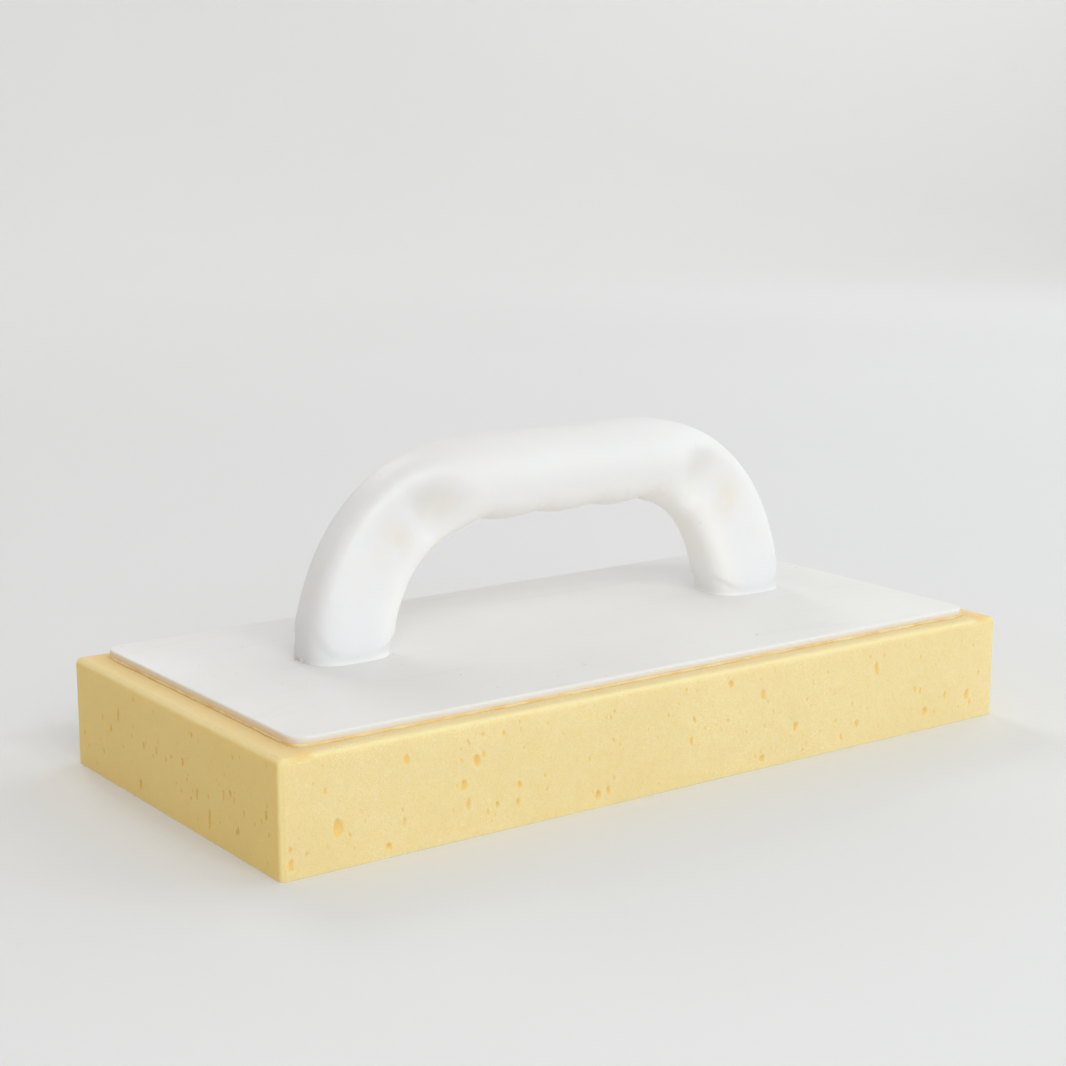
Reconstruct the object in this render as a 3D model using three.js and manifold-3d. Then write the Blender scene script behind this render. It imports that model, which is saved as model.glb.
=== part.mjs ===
// Sponge float: a moulded D-handle screwed to a crowned plastic base plate,
// which is glued to a thick block of open-cell sponge.
//
// Millimetres, +Z up. The origin is the middle of the sponge's working face.
// +X runs along the float's length. The float is used with the sponge down.

import * as THREE from 'three';
import Module from 'manifold-3d';
import { mergeVertices } from 'three/addons/utils/BufferGeometryUtils.js';
import { ParametricGeometry } from 'three/addons/geometries/ParametricGeometry.js';

const wasm = await Module();
wasm.setup();

// ---------------------------------------------------------------- dimensions

// Sponge block
const SPONGE = { length: 240, width: 115, height: 30, cornerRadius: 3, edgeRadius: 1.5 };

// Adhesive layer between sponge and plate
const GLUE_THICKNESS = 0.5;

// Base plate: a thin rim that rises to a flat landing for the handle
const PLATE = {
  length: 226,
  width: 106,
  rimThickness: 2,
  crown: 2.25,
  cornerRadius: 5,
  endSlope: 26, // length of the rise at each end
  sideSlope: 36, // length of the rise along each side
};

// The plate assembly sits slightly off the sponge's centre
const PLATE_OFFSET = { x: 0.5, y: 1 };

// Handle: the centreline of one half, from the grip's middle down to the foot
const HANDLE = {
  footX: 69, // centre of the foot, from the handle's middle
  legLean: 4.4, // how far the leg leans inwards over its guide height
  legGuide: 37.5,
  gripHeight: 78, // centreline of the grip above the working face
  gripHalfLength: 25, // straight part of the grip
  elbowGuide: 15,
  footEdgeRadius: 2.5,
};

// Handle section at stations along the centreline, measured from the grip's middle.
// reach is the half size in the plane of the handle, depth the half size across it,
// power the superellipse exponent (2 is round) and dish the hollow in each flat face.
const SECTIONS = [
  { at: 0, reach: 12, depth: 14, power: 2.1, dish: 0 },
  { at: 33, reach: 12, depth: 14.2, power: 2.1, dish: 0 },
  { at: 54, reach: 12.4, depth: 8.7, power: 3.2, dish: 1.2 },
  { at: 74, reach: 12.7, depth: 8.8, power: 3.3, dish: 0.7 },
  { at: 96, reach: 12.8, depth: 10.4, power: 2.8, dish: 0 },
];

// Share of the section's reach that the hollow of a flat face takes up
const DISH_SHARE = 0.85;

// Finger lobes on the underside of the grip; runOut is the length over which the last valley fades
const LOBES = { count: 3, pitch: 18.8, depth: 1.5, runOut: 8 };

// Self-tapping countersunk screws, one up into each foot
const SCREW = {
  headRadius: 4,
  headHeight: 2.2,
  shankRadius: 1.5,
  threadRadius: 2,
  threadPitch: 2,
  length: 16,
  tipLength: 3,
  slotLength: 5,
  slotWidth: 0.9,
  slotDepth: 1.1,
};
const CLEARANCE = 0.3;

// Derived heights
const GLUE_TOP = SPONGE.height + GLUE_THICKNESS;
const RIM_TOP = GLUE_TOP + PLATE.rimThickness;
const SEAT = RIM_TOP + PLATE.crown;

// Mesh resolution
const HANDLE_STEPS = 84;
const HANDLE_SIDES = 28;
const ROUND_SIDES = 20;
const CORNER_SEGMENTS = 5;
const EDGE_SEGMENTS = 3;
const PLATE_STEPS = { length: 28, width: 16 };
const FOOT_CROWDING = 0.7; // how strongly the handle's steps gather towards its feet
const MERGE_TOLERANCE = 1e-4;
const OVERCUT = 1; // how far a cutting solid runs past the face it cuts

// ---------------------------------------------------------------- solid tools

// A closed geometry as a solid: only positions, shared vertices merged.
function solid(geometry) {
  geometry.deleteAttribute('normal');
  geometry.deleteAttribute('uv');
  const merged = mergeVertices(geometry, MERGE_TOLERANCE);
  const index = merged.index.array;
  const triVerts = [];
  for (let i = 0; i < index.length; i += 3) {
    const [a, b, c] = [index[i], index[i + 1], index[i + 2]];
    if (a !== b && b !== c && c !== a) triVerts.push(a, b, c);
  }
  return new wasm.Manifold(new wasm.Mesh({
    numProp: 3,
    vertProperties: new Float32Array(merged.attributes.position.array),
    triVerts: new Uint32Array(triVerts),
  }));
}

// A solid back as a geometry.
function geometryOf(manifold) {
  const mesh = manifold.getMesh();
  const geometry = new THREE.BufferGeometry();
  geometry.setAttribute('position', new THREE.BufferAttribute(new Float32Array(mesh.vertProperties), 3));
  geometry.setIndex(new THREE.BufferAttribute(new Uint32Array(mesh.triVerts), 1));
  geometry.computeVertexNormals();
  return geometry;
}

// A rectangle with rounded corners, centred on the origin.
function roundedRectangle(length, width, radius) {
  const x = length / 2;
  const y = width / 2;
  const shape = new THREE.Shape();
  shape.moveTo(-x + radius, -y);
  shape.lineTo(x - radius, -y);
  shape.absarc(x - radius, -y + radius, radius, -Math.PI / 2, 0);
  shape.lineTo(x, y - radius);
  shape.absarc(x - radius, y - radius, radius, 0, Math.PI / 2);
  shape.lineTo(-x + radius, y);
  shape.absarc(-x + radius, y - radius, radius, Math.PI / 2, Math.PI);
  shape.lineTo(-x, -y + radius);
  shape.absarc(-x + radius, -y + radius, radius, Math.PI, 1.5 * Math.PI);
  return shape;
}

function slab(length, width, radius, thickness, bottom) {
  const shape = roundedRectangle(length, width, radius);
  const options = { depth: thickness, bevelEnabled: false, curveSegments: CORNER_SEGMENTS };
  return new THREE.ExtrudeGeometry(shape, options).translate(0, 0, bottom);
}

// A solid of revolution about a vertical axis, from [radius, height] pairs.
function turned(profile, x) {
  const points = profile.map(([radius, height]) => new THREE.Vector2(radius, height));
  const geometry = new THREE.LatheGeometry(points, ROUND_SIDES);
  return solid(geometry.rotateX(Math.PI / 2).translate(x, 0, 0));
}

const smooth = (t) => THREE.MathUtils.smoothstep(t, 0, 1);

// ---------------------------------------------------------------- sponge

function spongeGeometry() {
  const { length, width, height, cornerRadius, edgeRadius } = SPONGE;
  const geometry = new THREE.ExtrudeGeometry(roundedRectangle(length, width, cornerRadius), {
    depth: height - 2 * edgeRadius,
    bevelThickness: edgeRadius,
    bevelSize: edgeRadius,
    bevelOffset: -edgeRadius,
    bevelSegments: EDGE_SEGMENTS,
    curveSegments: CORNER_SEGMENTS,
  });
  return geometryOf(solid(geometry.translate(0, 0, edgeRadius)));
}

// ---------------------------------------------------------------- base plate

// Height of the plate's crown above its rim.
function crownHeight(x, y) {
  const rise = (t) => Math.min(t, 1) * (2 - Math.min(t, 1));
  const fromEnd = rise((PLATE.length / 2 - Math.abs(x)) / PLATE.endSlope);
  const fromSide = rise((PLATE.width / 2 - Math.abs(y)) / PLATE.sideSlope);
  return PLATE.crown * fromEnd * fromSide;
}

function plateGeometry() {
  const { length, width, rimThickness, crown, cornerRadius } = PLATE;
  const middle = GLUE_TOP + rimThickness / 2;
  const block = new THREE.BoxGeometry(
    length, width, rimThickness,
    PLATE_STEPS.length, PLATE_STEPS.width, 1,
  );
  block.translate(0, 0, middle);
  const position = block.attributes.position;
  for (let i = 0; i < position.count; i++) {
    if (position.getZ(i) > middle) {
      position.setZ(i, RIM_TOP + crownHeight(position.getX(i), position.getY(i)));
    }
  }
  const outline = slab(length, width, cornerRadius, 2 * rimThickness + crown, GLUE_TOP);
  let plate = solid(block).intersect(solid(outline));
  for (const side of [-1, 1]) plate = plate.subtract(screwHole(side));
  return geometryOf(plate);
}

// ---------------------------------------------------------------- handle

// Centreline in the handle's own plane, from foot to foot, with a short stub below each seat.
function handlePath() {
  const { footX, legLean, legGuide, gripHeight, gripHalfLength, elbowGuide, footEdgeRadius } = HANDLE;
  const stub = footEdgeRadius / 2;
  const lean = legLean / legGuide;
  const path = new THREE.Path();
  path.moveTo(-footX - lean * stub, SEAT - stub);
  path.lineTo(-footX, SEAT);
  path.bezierCurveTo(
    -footX + legLean, SEAT + legGuide,
    -gripHalfLength - elbowGuide, gripHeight,
    -gripHalfLength, gripHeight,
  );
  path.lineTo(gripHalfLength, gripHeight);
  path.bezierCurveTo(
    gripHalfLength + elbowGuide, gripHeight,
    footX - legLean, SEAT + legGuide,
    footX, SEAT,
  );
  path.lineTo(footX + lean * stub, SEAT - stub);
  return path;
}

// Section sizes at a distance from the grip's middle, blended smoothly between stations.
function sectionAt(distance) {
  const last = SECTIONS[SECTIONS.length - 1];
  if (distance >= last.at) return last;
  const next = SECTIONS.findIndex((station) => station.at > distance);
  const [a, b] = [SECTIONS[next - 1], SECTIONS[next]];
  const t = smooth((distance - a.at) / (b.at - a.at));
  const section = {};
  for (const key of Object.keys(a)) section[key] = THREE.MathUtils.lerp(a[key], b[key], t);
  return section;
}

// Rounding of the foot's bottom edge: how far the section draws in near the seat.
function footRounding(z) {
  const radius = HANDLE.footEdgeRadius;
  const below = THREE.MathUtils.clamp(1 - (z - SEAT) / radius, 0, 1);
  return radius * (1 - Math.sqrt(1 - below * below));
}

// Depth of the valleys between the finger lobes.
function lobeValley(x) {
  const beyond = Math.abs(x) - (LOBES.count * LOBES.pitch) / 2;
  const rise = beyond < 0
    ? Math.abs(Math.cos((Math.PI * x) / LOBES.pitch))
    : smooth(beyond / LOBES.runOut);
  return LOBES.depth * (1 - rise);
}

function signedPower(value, power) {
  return Math.sign(value) * Math.abs(value) ** power;
}

// Even steps from 0 to 1, drawn together towards both ends.
function crowdEnds(t) {
  return THREE.MathUtils.lerp(t, (1 - Math.cos(Math.PI * t)) / 2, FOOT_CROWDING);
}

// A point of the handle's skin: u runs from foot to foot, v round the section.
// The first and last steps of u close the ends.
function handleSkin(path, total) {
  const closing = 1 / HANDLE_STEPS;
  return (u, v, target) => {
    const along = crowdEnds(THREE.MathUtils.clamp((u - closing) / (1 - 2 * closing), 0, 1));
    const centre = path.getPointAt(along);
    const tangent = path.getTangentAt(along);
    const atEnd = u < closing / 2 || u > 1 - closing / 2;
    if (atEnd) {
      target.set(centre.x, 0, centre.y);
      return;
    }
    const { reach, depth, power, dish } = sectionAt(Math.abs(along - 0.5) * total);
    const drawIn = footRounding(centre.y);
    const angle = 2 * Math.PI * v;
    const outward = signedPower(Math.cos(angle), 2 / power);
    const across = signedPower(Math.sin(angle), 2 / power);
    const hollow = dish * Math.max(0, 1 - (outward / DISH_SHARE) ** 2) * Math.abs(across);
    const under = Math.max(0, -Math.cos(angle)) ** 2;
    const r = (reach - drawIn) * outward + lobeValley(centre.x) * under;
    const y = (depth - drawIn) * across - Math.sign(across) * hollow;
    target.set(centre.x - tangent.y * r, y, centre.y + tangent.x * r);
  };
}

function handleGeometry() {
  const path = handlePath();
  const surface = handleSkin(path, path.getLength());
  const skin = new ParametricGeometry(surface, HANDLE_STEPS, HANDLE_SIDES);
  const below = new THREE.BoxGeometry(4 * HANDLE.footX, PLATE.width, SEAT);
  below.translate(0, 0, SEAT / 2);
  let handle = solid(skin).subtract(solid(below));
  for (const side of [-1, 1]) handle = handle.subtract(screwBore(side));
  return geometryOf(handle);
}

// ---------------------------------------------------------------- screws

const screwX = (side) => side * HANDLE.footX;
const SCREW_BOTTOM = GLUE_TOP + CLEARANCE;

// Countersunk hole up through the plate.
function screwHole(side) {
  const shank = SCREW.threadRadius + CLEARANCE;
  const head = SCREW.headRadius + CLEARANCE;
  const coneBottom = SCREW_BOTTOM + CLEARANCE;
  const coneTop = coneBottom + SCREW.headHeight;
  const below = GLUE_TOP - OVERCUT;
  const above = SEAT + OVERCUT;
  const profile = [
    [0, below], [head, below], [head, coneBottom],
    [shank, coneTop], [shank, above], [0, above],
  ];
  return turned(profile, screwX(side));
}

// Blind pilot bore in the foot.
function screwBore(side) {
  const radius = SCREW.threadRadius + CLEARANCE;
  const bottom = SEAT - OVERCUT;
  const top = SCREW_BOTTOM + SCREW.length + radius / 2;
  return turned([[0, bottom], [radius, bottom], [radius, top - radius / 2], [0, top]], screwX(side));
}

function screwGeometry(side) {
  const { headRadius, headHeight, shankRadius, threadRadius } = SCREW;
  const { threadPitch, length, tipLength, slotLength, slotWidth, slotDepth } = SCREW;
  const threadStart = SCREW_BOTTOM + headHeight + threadPitch / 2;
  const tipStart = SCREW_BOTTOM + length - tipLength;
  const profile = [[0, SCREW_BOTTOM], [headRadius, SCREW_BOTTOM], [shankRadius, SCREW_BOTTOM + headHeight]];
  for (let z = threadStart; z + threadPitch < tipStart; z += threadPitch) {
    profile.push([shankRadius, z], [threadRadius, z + threadPitch / 4], [shankRadius, z + threadPitch / 2]);
  }
  profile.push([shankRadius, tipStart], [0, tipStart + tipLength]);
  let screw = turned(profile, screwX(side));
  for (const turn of [0, Math.PI / 2]) {
    const slot = new THREE.BoxGeometry(slotLength, slotWidth, 2 * slotDepth);
    slot.rotateZ(turn).translate(screwX(side), 0, SCREW_BOTTOM);
    screw = screw.subtract(solid(slot));
  }
  return geometryOf(screw);
}

// ---------------------------------------------------------------- assembly

function part(name, geometry, color, roughness, metalness) {
  const material = new THREE.MeshStandardMaterial({ color, roughness, metalness });
  const mesh = new THREE.Mesh(geometry, material);
  mesh.name = name;
  return mesh;
}

function glueGeometry() {
  const { length, width, cornerRadius } = PLATE;
  return geometryOf(solid(slab(length, width, cornerRadius, GLUE_THICKNESS, SPONGE.height)));
}

const upper = new THREE.Group();
upper.position.set(PLATE_OFFSET.x, PLATE_OFFSET.y, 0);
upper.add(part('adhesive_layer', glueGeometry(), 0xc98a3a, 0.6, 0));
upper.add(part('base_plate', plateGeometry(), 0xe8e9eb, 0.5, 0));
upper.add(part('handle', handleGeometry(), 0xf2f1ee, 0.35, 0));
upper.add(part('left_handle_screw', screwGeometry(-1), 0x9a9c9f, 0.35, 1));
upper.add(part('right_handle_screw', screwGeometry(1), 0x9a9c9f, 0.35, 1));

const spongeFloat = new THREE.Group();
spongeFloat.add(part('sponge_pad', spongeGeometry(), 0xead98f, 0.9, 0));
spongeFloat.add(upper);

export default spongeFloat;
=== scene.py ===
"""Looks for the sponge float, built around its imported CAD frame.

Metres, +Z up, +X along the float, origin in the middle of the sponge's working face.
"""
import math
import random

import bmesh
import bpy
import numpy as np
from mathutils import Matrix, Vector, noise


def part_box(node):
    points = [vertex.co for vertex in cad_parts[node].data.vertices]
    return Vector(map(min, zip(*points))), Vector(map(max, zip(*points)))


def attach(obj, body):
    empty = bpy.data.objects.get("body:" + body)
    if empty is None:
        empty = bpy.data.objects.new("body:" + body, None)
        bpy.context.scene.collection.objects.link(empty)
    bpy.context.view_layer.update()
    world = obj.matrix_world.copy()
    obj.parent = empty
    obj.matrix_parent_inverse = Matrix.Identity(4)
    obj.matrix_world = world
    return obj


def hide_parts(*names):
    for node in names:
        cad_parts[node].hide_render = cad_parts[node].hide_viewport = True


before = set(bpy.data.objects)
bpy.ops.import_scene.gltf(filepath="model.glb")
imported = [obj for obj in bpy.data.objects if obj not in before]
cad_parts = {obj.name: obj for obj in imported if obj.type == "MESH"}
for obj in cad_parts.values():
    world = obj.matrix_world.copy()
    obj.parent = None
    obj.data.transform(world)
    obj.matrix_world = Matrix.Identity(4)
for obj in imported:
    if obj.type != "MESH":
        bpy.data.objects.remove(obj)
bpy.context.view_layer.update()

MM = 0.001
SPONGE_LOW, SPONGE_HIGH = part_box("sponge_pad")
PLATE_LOW, PLATE_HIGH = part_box("base_plate")
GLUE_LOW, GLUE_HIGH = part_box("adhesive_layer")
HANDLE_LOW, HANDLE_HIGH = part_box("handle")
LEFT_SCREW, RIGHT_SCREW = (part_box(side + "_handle_screw") for side in ("left", "right"))

# Base plate: corner radius, rim, and how far the rise of its crown runs in from each edge
PLATE_CENTRE = (PLATE_LOW + PLATE_HIGH) / 2
PLATE_HALF = (PLATE_HIGH - PLATE_LOW) / 2
PLATE_CORNER = 5 * MM
RIM_THICKNESS = 2 * MM
RIM_TOP = PLATE_LOW.z + RIM_THICKNESS
END_SLOPE = 26 * MM
SIDE_SLOPE = 36 * MM

# Handle: its middle, its seat on the plate, and how far each foot's centre is from the middle
HANDLE_X = (HANDLE_LOW.x + HANDLE_HIGH.x) / 2
HANDLE_Y = (HANDLE_LOW.y + HANDLE_HIGH.y) / 2
SEAT = HANDLE_LOW.z
FOOT_X = (sum(corner.x for corner in RIGHT_SCREW) - sum(corner.x for corner in LEFT_SCREW)) / 4


# ------------------------------------------------------------------ mesh tools

def new_object(name, mesh, material=None, smooth=True):
    """An object in the scene around a mesh, with smooth or flat shading."""
    mesh.polygons.foreach_set("use_smooth", [smooth] * len(mesh.polygons))
    if material is not None:
        mesh.materials.append(material)
    piece = bpy.data.objects.new(name, mesh)
    bpy.context.scene.collection.objects.link(piece)
    return piece


def mesh_from(name, points, faces):
    """A mesh with its faces turned outwards."""
    mesh = bpy.data.meshes.new(name)
    mesh.from_pydata([tuple(p) for p in points], [], faces)
    work = bmesh.new()
    work.from_mesh(mesh)
    bmesh.ops.recalc_face_normals(work, faces=work.faces)
    work.to_mesh(mesh)
    work.free()
    return mesh


def ring_faces(rings, count, first=0):
    """Quads between consecutive closed rings of count points each."""
    faces = []
    for ring in range(rings - 1):
        for i in range(count):
            j = (i + 1) % count
            low = first + ring * count
            faces.append((low + i, low + j, low + count + j, low + count + i))
    return faces


def closed_skin(rings, count):
    """Faces of a skin made of rings, with a flat face closing each end."""
    last = (rings - 1) * count
    faces = ring_faces(rings, count)
    faces.append(tuple(range(count))[::-1])
    faces.append(tuple(range(last, last + count)))
    return faces


def point_values(mesh, name, values):
    """Stores one value for each point of a mesh, for its material to read."""
    attribute = mesh.attributes.new(name, "FLOAT", "POINT")
    attribute.data.foreach_set("value", np.asarray(values, dtype=np.float32))


def smoothstep(t):
    t = np.clip(t, 0.0, 1.0)
    return t * t * (3 - 2 * t)


def ride_and_replace(piece, slot, *nodes):
    """The piece rides on the only body and stands for its CAD nodes; slot is not used."""
    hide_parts(*nodes)
    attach(piece, "root")


# ------------------------------------------------------------------ material tools

class Nodes:
    """Short names for building a node material."""

    def __init__(self, name):
        self.material = bpy.data.materials.new(name)
        self.material.use_nodes = True
        self.tree = self.material.node_tree
        self.shader = self.tree.nodes["Principled BSDF"]
        self.place = self.tree.nodes.new("ShaderNodeTexCoord").outputs["Object"]

    def link(self, source, target):
        self.tree.links.new(source, target)

    def scaled(self, factors):
        """Object coordinates stretched by a factor along each axis."""
        node = self.tree.nodes.new("ShaderNodeMapping")
        node.inputs["Scale"].default_value = factors
        self.link(self.place, node.inputs["Vector"])
        return node.outputs["Vector"]

    def noise(self, scale, detail=4.0, roughness=0.5, place=None, distortion=0.0):
        node = self.tree.nodes.new("ShaderNodeTexNoise")
        node.inputs["Scale"].default_value = scale
        node.inputs["Detail"].default_value = detail
        node.inputs["Roughness"].default_value = roughness
        node.inputs["Distortion"].default_value = distortion
        self.link(place or self.place, node.inputs["Vector"])
        return node.outputs["Fac"]

    def cells(self, scale, feature="F1", place=None):
        node = self.tree.nodes.new("ShaderNodeTexVoronoi")
        node.feature = feature
        node.inputs["Scale"].default_value = scale
        self.link(place or self.place, node.inputs["Vector"])
        return node.outputs["Distance"]

    def between(self, value, low, high, out_low=0.0, out_high=1.0):
        """Smooth remap of a value from one range to another."""
        node = self.tree.nodes.new("ShaderNodeMapRange")
        node.interpolation_type = "SMOOTHSTEP"
        self.link(value, node.inputs["Value"])
        node.inputs["From Min"].default_value = low
        node.inputs["From Max"].default_value = high
        node.inputs["To Min"].default_value = out_low
        node.inputs["To Max"].default_value = out_high
        return node.outputs["Result"]

    def math(self, operation, a, b):
        node = self.tree.nodes.new("ShaderNodeMath")
        node.operation = operation
        for socket, value in zip(node.inputs, (a, b)):
            if isinstance(value, (int, float)):
                socket.default_value = value
            else:
                self.link(value, socket)
        return node.outputs["Value"]

    def mix(self, factor, a, b):
        """Colour a turning into colour b; each is a socket or an RGB triple."""
        node = self.tree.nodes.new("ShaderNodeMix")
        node.data_type = "RGBA"
        self.link(factor, node.inputs["Factor"])
        for socket, colour in ((node.inputs[6], a), (node.inputs[7], b)):
            if isinstance(colour, tuple):
                socket.default_value = (*colour, 1.0)
            else:
                self.link(colour, socket)
        return node.outputs[2]

    def distance_to(self, point):
        """Distance in metres from a fixed point of the object."""
        node = self.tree.nodes.new("ShaderNodeVectorMath")
        node.operation = "DISTANCE"
        self.link(self.place, node.inputs[0])
        node.inputs[1].default_value = point
        return node.outputs["Value"]

    def axis(self, name):
        """One of the object's coordinates, X, Y or Z."""
        node = self.tree.nodes.new("ShaderNodeSeparateXYZ")
        self.link(self.place, node.inputs["Vector"])
        return node.outputs[name]

    def cell_shade(self, scale):
        """A random value for each tiny cell."""
        node = self.tree.nodes.new("ShaderNodeTexVoronoi")
        node.inputs["Scale"].default_value = scale
        self.link(self.place, node.inputs["Vector"])
        split = self.tree.nodes.new("ShaderNodeSeparateColor")
        self.link(node.outputs["Color"], split.inputs["Color"])
        return split.outputs["Red"]

    def attribute(self, name):
        node = self.tree.nodes.new("ShaderNodeAttribute")
        node.attribute_name = name
        return node.outputs["Fac"]

    def bump(self, height, strength, distance, below=None):
        node = self.tree.nodes.new("ShaderNodeBump")
        node.inputs["Strength"].default_value = strength
        node.inputs["Distance"].default_value = distance
        self.link(height, node.inputs["Height"])
        if below is not None:
            self.link(below, node.inputs["Normal"])
        return node.outputs["Normal"]

    def set(self, **values):
        """Uniform values, straight on the shader's sockets."""
        for name, value in values.items():
            self.shader.inputs[name.replace("_", " ")].default_value = value


# ------------------------------------------------------------------ materials

FOAM_YELLOW = (0.835, 0.680, 0.345)
FOAM_PALE = (0.865, 0.715, 0.38)
FOAM_CELL = (0.76, 0.54, 0.17)
# Painted glint on the cell walls
FOAM_GLINT = (0.97, 0.92, 0.72)
FOAM_BLOTCH = (0.80, 0.57, 0.19)
# Painted shade on both ends
FOAM_END_SHADE = (0.82, 0.56, 0.125)
# Painted highlight on the rounded edges
FOAM_EDGE_HIGHLIGHT = (0.90, 0.80, 0.45)
# Painted shade inside the pores, darker on the ends
FOAM_PORE_SHADE = (0.87, 0.57, 0.14)
FOAM_END_PORE_SHADE = (0.74, 0.43, 0.07)
# Painted shade on the top ledge at each end, beside the plate, and how far it reaches
FOAM_LEDGE_SHADE = (0.82, 0.55, 0.20)
LEDGE_SHADE_REACH = 9 * MM
FOAM_SCATTER = (0.005, 0.0035, 0.0015)


def foam_material():
    """Open-cell sponge: fine cells with painted glints on their walls, a more orange painted shade
    inside the pores, paler painted highlights on the rounded edges, and painted shade on both ends and
    on the end ledges beside the plate."""
    n = Nodes("sponge_foam")
    broad = n.between(n.noise(22, detail=3), 0.3, 0.7)
    cell = n.cell_shade(3400)
    colour = n.mix(broad, FOAM_YELLOW, FOAM_PALE)
    colour = n.mix(n.between(cell, 0.55, 1.0, 0.0, 0.30), colour, FOAM_CELL)
    # Painted glints: light dots on the cell walls, in patches
    glinting = n.between(n.noise(45, detail=2), 0.42, 0.62)
    glint = n.math("MULTIPLY", n.between(cell, 0.06, 0.0, 0.0, 0.45), glinting)
    colour = n.mix(glint, colour, FOAM_GLINT)
    patch = n.between(n.noise(260, detail=4, roughness=0.65), 0.35, 0.75, 0.0, 0.22)
    colour = n.mix(patch, colour, FOAM_BLOTCH)
    # Painted shade: both ends of the block are deeper orange
    colour = n.mix(n.math("MULTIPLY", n.attribute("end_shade"), 0.6), colour, FOAM_END_SHADE)
    # Painted highlight: the rounded edges are paler
    colour = n.mix(n.math("MULTIPLY", n.attribute("edge"), 0.5), colour, FOAM_EDGE_HIGHLIGHT)
    # Painted shade inside each pore, darker again on the ends
    pore_shade = n.mix(n.attribute("end_shade"), FOAM_PORE_SHADE, FOAM_END_PORE_SHADE)
    colour = n.mix(n.math("MULTIPLY", n.attribute("pore"), 0.7), colour, pore_shade)
    # Painted shade on the top ledge just beyond each end of the plate
    from_middle = n.math("ABSOLUTE", n.math("SUBTRACT", n.axis("X"), PLATE_CENTRE.x), 0.0)
    ledge_shade = n.between(from_middle, PLATE_HALF.x + LEDGE_SHADE_REACH, PLATE_HALF.x, 0.0, 0.75)
    beside = n.between(from_middle, PLATE_HALF.x - LEDGE_SHADE_REACH / 3, PLATE_HALF.x)
    on_top = n.between(n.axis("Z"), SPONGE_HIGH.z - 1.5 * MM, SPONGE_HIGH.z - 0.6 * MM)
    ledge_shade = n.math("MULTIPLY", ledge_shade, beside)
    colour = n.mix(n.math("MULTIPLY", ledge_shade, on_top), colour, FOAM_LEDGE_SHADE)
    n.link(colour, n.shader.inputs["Base Color"])
    normal = n.bump(n.between(n.cells(2600), 0.0, 0.6), 0.5, 0.12 * MM)
    normal = n.bump(n.noise(900, detail=5, roughness=0.7), 0.30, 0.25 * MM, normal)
    n.link(normal, n.shader.inputs["Normal"])
    n.set(Subsurface_Weight=0.3, Subsurface_Radius=FOAM_SCATTER, Subsurface_Scale=1.0)
    n.set(Roughness=0.85, Specular_IOR_Level=0.3, Sheen_Weight=0.1, Sheen_Roughness=0.6)
    return n.material


# Place and colour of the brown dirt and painted shade in the crevice at the left foot
DIRT_AND_SHADE_PLACE = (HANDLE_X - FOOT_X - 9 * MM, HANDLE_Y + 1 * MM, SEAT)
DIRT_AND_SHADE_BROWN = (0.30, 0.17, 0.07)


def dirt_and_crevice_shade(n, colour):
    """Brown dirt, with painted shade, in the crevice where the left foot's outer side meets the plate.
    """
    near = n.between(n.distance_to(DIRT_AND_SHADE_PLACE), 6.5 * MM, 1 * MM)
    low = n.between(n.axis("Z"), SEAT + 1.6 * MM, SEAT)
    blotch = n.between(n.noise(420, detail=5, roughness=0.7), 0.42, 0.62)
    share = n.math("MULTIPLY", n.math("MULTIPLY", near, low), blotch)
    return n.mix(n.math("MULTIPLY", share, 0.9), colour, DIRT_AND_SHADE_BROWN)


PLATE_WHITE = (0.765, 0.752, 0.74)
PLATE_PALE = (0.80, 0.788, 0.772)
PLATE_SPECK = (0.32, 0.26, 0.20)
PLATE_SCUFF = (0.50, 0.49, 0.47)
# Glue smear and painted shade towards the rim's foot
RIM_GLUE_AND_SHADE = (0.74, 0.60, 0.40)
# Painted shade on the left end's rim face
LEFT_END_SHADE = (0.82, 0.68, 0.46)


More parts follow.
